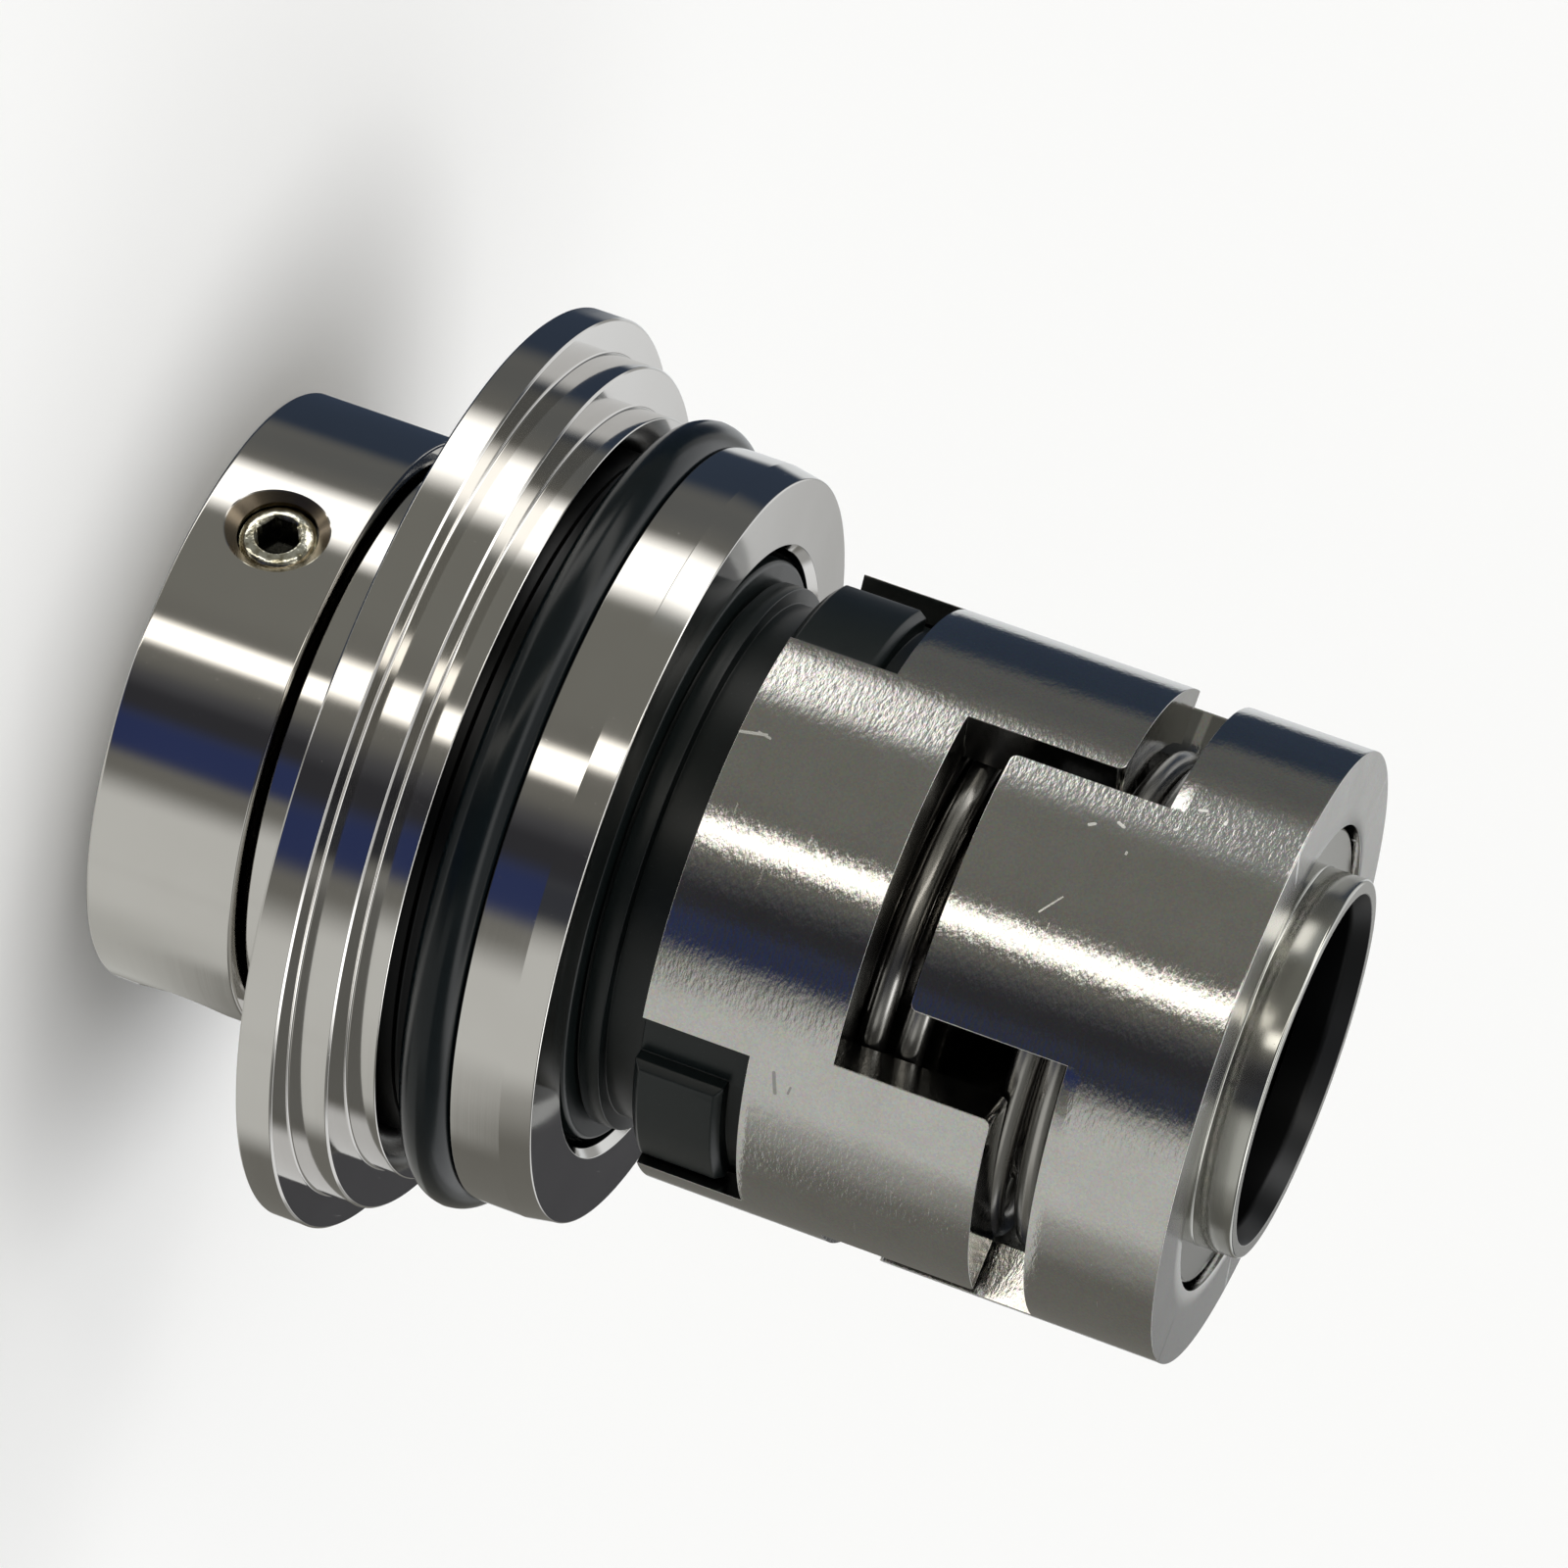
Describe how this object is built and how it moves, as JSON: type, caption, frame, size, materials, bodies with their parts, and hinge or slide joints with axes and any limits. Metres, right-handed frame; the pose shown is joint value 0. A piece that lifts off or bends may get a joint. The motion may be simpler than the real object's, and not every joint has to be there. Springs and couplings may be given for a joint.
{
  "type": "cartridge mechanical seal",
  "caption": "Cartridge mechanical seal: flanged cover on a shaft sleeve, with a clamping collar, castellated sprung face carrier and spring retainer.",
  "frame": {"origin": "centre of the drive collar's end face, the face it stands on", "axes": "+Z along the shaft axis from the drive collar to the spring retainer; -Y towards the viewer of the picture"},
  "size_m": [0.0608, 0.0608, 0.0739],
  "materials": {
    "polished_steel": "fine turned and polished stainless steel",
    "satin_steel": "satin, lightly blasted stainless steel",
    "spring_steel": "bright drawn wire",
    "screw_steel": "bright, slightly warm steel",
    "silicon_carbide": "black ceramic, ground, satin",
    "filled_ptfe": "matt dark brown-black",
    "seal_rubber": "black rubber, slightly glossy"
  },
  "bodies": {
    "stator": {"seal_cover": "polished_steel", "cover_o_ring": "seal_rubber", "stationary_seat": "silicon_carbide", "seat_o_ring": "seal_rubber", "seat_pin": "spring_steel", "guide_bush": "filled_ptfe"},
    "rotor": {"drive_collar": "polished_steel", "shaft_sleeve": "polished_steel", "shaft_o_ring": "seal_rubber", "coil_spring": "spring_steel", "spring_retainer": "satin_steel", "drive_pin": "spring_steel"},
    "sprung_face": {"ring_carrier": "satin_steel", "rotating_face": "silicon_carbide", "face_o_ring": "seal_rubber", "thrust_washer": "satin_steel"},
    "screw_1": {"set_screw_1": "screw_steel"},
    "screw_2": {"set_screw_2": "screw_steel"},
    "screw_3": {"set_screw_3": "screw_steel"}
  },
  "joints": [
    {"name": "rotor_spin", "type": "hinge", "parent": "stator", "child": "rotor", "pos_m": [0, 0, 0], "axis": [0, 0, 1], "continuous": true},
    {"name": "face_slide", "type": "slide", "parent": "rotor", "child": "sprung_face", "axis": [0, 0, 1], "range_m": [0, 0.0025], "stiffness_N_per_m": 2400, "springref_m": -0.006, "deforming": ["coil_spring"]},
    {"name": "screw_1_travel", "type": "slide", "parent": "rotor", "child": "screw_1", "axis": [0.5299, 0.848, 0], "range_m": [-0.0006, 0.0021]},
    {"name": "screw_2_travel", "type": "slide", "parent": "rotor", "child": "screw_2", "axis": [-0.9994, 0.0349, 0], "range_m": [-0.0006, 0.0021]},
    {"name": "screw_3_travel", "type": "slide", "parent": "rotor", "child": "screw_3", "axis": [0.4695, -0.8829, 0], "range_m": [-0.0006, 0.0021]}
  ]
}
